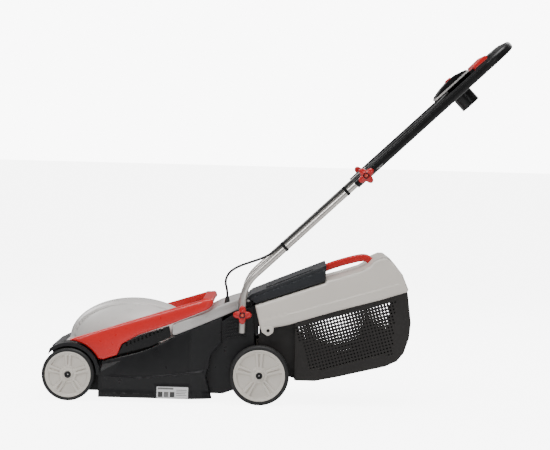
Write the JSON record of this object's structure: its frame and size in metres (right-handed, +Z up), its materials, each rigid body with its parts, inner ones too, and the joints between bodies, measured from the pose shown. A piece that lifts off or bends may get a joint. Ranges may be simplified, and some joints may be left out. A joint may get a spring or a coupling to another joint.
{
  "type": "electric rotary push lawn mower",
  "caption": "Electric rotary push mower: moulded deck on spoked wheels, domed motor hood, red carry cover, folding tube handle with switch console, rear flap and perforated grass box.",
  "frame": {"origin": "middle of the footprint's bounding box, on the ground under the wheels", "axes": "+Z up, -Y the way the mower drives, +Y towards the handle and the grass box, +X the mower's left"},
  "size_m": [0.42, 1.319, 1.0542],
  "materials": {
    "deck_black": "satin moulded polypropylene",
    "trim_black": "fine matte texture",
    "cream": "light satin moulding",
    "red": "glossy moulding",
    "silver_grey": "silver pigmented satin moulding",
    "basket_black": "fine matte texture",
    "tyre_black": "matte with fine ribs",
    "tube_silver": "silver coated tube",
    "steel": "bright zinc",
    "blade_steel": "black painted blade",
    "laminations": "stacked sheet steel",
    "motor_can": "grey paint",
    "fan_plastic": "moulded",
    "cable_rubber": "matte cable jacket",
    "label_white": "printed film",
    "brass_pin": "bright",
    "capacitor_grey": "smooth can"
  },
  "bodies": {
    "deck": {"deck_shell": "deck_black", "motor_hood": "cream", "carry_cover": "red", "rear_cover": "silver_grey", "vent_grilles": "trim_black", "rating_label": "label_white", "motor_can": "motor_can", "motor_stator": "laminations", "motor_bearings": "steel", "capacitor": "capacitor_grey", "motor_screws": "steel", "cable_gland": "cable_rubber", "flap_hinge_pin": "steel", "flap_springs": "steel", "lower_bolts": "steel", "cable_loop": "cable_rubber"},
    "front_axle": {"front_axle": "steel"},
    "rear_axle": {"rear_axle": "steel"},
    "rotor": {"rotor_shaft": "steel", "rotor_core": "laminations", "cooling_fan": "fan_plastic", "blade_holder": "motor_can", "blade": "blade_steel", "blade_bolt": "steel"},
    "lower_handle": {"lower_tube_left": "tube_silver", "lower_tube_right": "tube_silver", "upper_bolts": "steel", "cable_clips": "trim_black", "cable_lower": "cable_rubber", "cable_elbow": "cable_rubber"},
    "upper_handle": {"handle_loop": "trim_black", "switch_housing": "trim_black", "switch_cover": "silver_grey", "motor_switch": "trim_black", "inlet_shroud": "trim_black", "inlet_pins": "brass_pin", "cable_upper": "cable_rubber"},
    "start_lever": {"start_lever": "red"},
    "safety_button": {"safety_button": "red"},
    "flap": {"rear_flap": "deck_black"},
    "grass_box": {"box_lid": "cream", "basket": "basket_black", "box_handle": "red"},
    "front_wheel_left": {"front_wheel_left": "cream", "front_tyre_left": "tyre_black", "front_hub_cap_left": "trim_black"},
    "front_wheel_right": {"front_wheel_right": "cream", "front_tyre_right": "tyre_black", "front_hub_cap_right": "trim_black"},
    "rear_wheel_left": {"rear_wheel_left": "cream", "rear_tyre_left": "tyre_black", "rear_hub_cap_left": "trim_black"},
    "rear_wheel_right": {"rear_wheel_right": "cream", "rear_tyre_right": "tyre_black", "rear_hub_cap_right": "trim_black"},
    "lower_knob_left": {"lower_knob_left": "red"},
    "lower_knob_right": {"lower_knob_right": "red"},
    "upper_knob_left": {"upper_knob_left": "red"},
    "upper_knob_right": {"upper_knob_right": "red"}
  },
  "joints": [
    {"name": "front_axle_height", "type": "slide", "parent": "deck", "child": "front_axle", "axis": [0, 0, -1], "range_m": [0, 0.036]},
    {"name": "front_wheel_left_spin", "type": "hinge", "parent": "front_axle", "child": "front_wheel_left", "pos_m": [0.184, -0.58455, 0.075], "axis": [1, 0, 0], "continuous": true},
    {"name": "front_wheel_right_spin", "type": "hinge", "parent": "front_axle", "child": "front_wheel_right", "pos_m": [-0.184, -0.58455, 0.075], "axis": [1, 0, 0], "continuous": true},
    {"name": "rear_axle_height", "type": "slide", "parent": "deck", "child": "rear_axle", "axis": [0, 0, -1], "range_m": [0, 0.036]},
    {"name": "rear_wheel_left_spin", "type": "hinge", "parent": "rear_axle", "child": "rear_wheel_left", "pos_m": [0.184, -0.04055, 0.085], "axis": [1, 0, 0], "continuous": true},
    {"name": "rear_wheel_right_spin", "type": "hinge", "parent": "rear_axle", "child": "rear_wheel_right", "pos_m": [-0.184, -0.04055, 0.085], "axis": [1, 0, 0], "continuous": true},
    {"name": "lower_fold", "type": "hinge", "parent": "deck", "child": "lower_handle", "pos_m": [0, -0.09295, 0.2546], "axis": [1, 0, 0], "range_deg": [0, 30], "deforming": ["cable_loop"]},
    {"name": "upper_fold", "type": "hinge", "parent": "lower_handle", "child": "upper_handle", "pos_m": [0, 0.24795, 0.6616], "axis": [-1, 0, 0], "range_deg": [-140, 0], "deforming": ["cable_elbow"]},
    {"name": "lower_knob_left_turn", "type": "hinge", "parent": "deck", "child": "lower_knob_left", "pos_m": [0.177, -0.09295, 0.2546], "axis": [1, 0, 0], "continuous": true},
    {"name": "lower_knob_right_turn", "type": "hinge", "parent": "deck", "child": "lower_knob_right", "pos_m": [-0.177, -0.09295, 0.2546], "axis": [1, 0, 0], "continuous": true},
    {"name": "upper_knob_left_turn", "type": "hinge", "parent": "lower_handle", "child": "upper_knob_left", "pos_m": [0.199, 0.24795, 0.6616], "axis": [1, 0, 0], "continuous": true},
    {"name": "upper_knob_right_turn", "type": "hinge", "parent": "lower_handle", "child": "upper_knob_right", "pos_m": [-0.199, 0.24795, 0.6616], "axis": [1, 0, 0], "continuous": true},
    {"name": "flap_hinge", "type": "hinge", "parent": "deck", "child": "flap", "pos_m": [0, -0.07755, 0.293], "axis": [1, 0, 0], "range_deg": [0, 60], "stiffness_Nm_per_rad": 0.35, "springref_deg": -28.65},
    {"name": "box_lift", "type": "slide", "parent": "deck", "child": "grass_box", "axis": [0, 0.9444, 0.3289], "range_m": [0, 0.15]},
    {"name": "rotor_spin", "type": "hinge", "parent": "deck", "child": "rotor", "pos_m": [0, -0.40955, 0.1], "axis": [0, 0, 1], "continuous": true},
    {"name": "start_lever_pull", "type": "hinge", "parent": "upper_handle", "child": "start_lever", "pos_m": [0, 0.55327, 0.97031], "axis": [-1, 0, 0], "range_deg": [0, 14], "stiffness_Nm_per_rad": 1.5, "springref_deg": -14.32},
    {"name": "safety_button_press", "type": "slide", "parent": "upper_handle", "child": "safety_button", "axis": [0, 0.6896, -0.7242], "range_m": [0, 0.005], "stiffness_N_per_m": 400, "springref_m": -0.002}
  ]
}
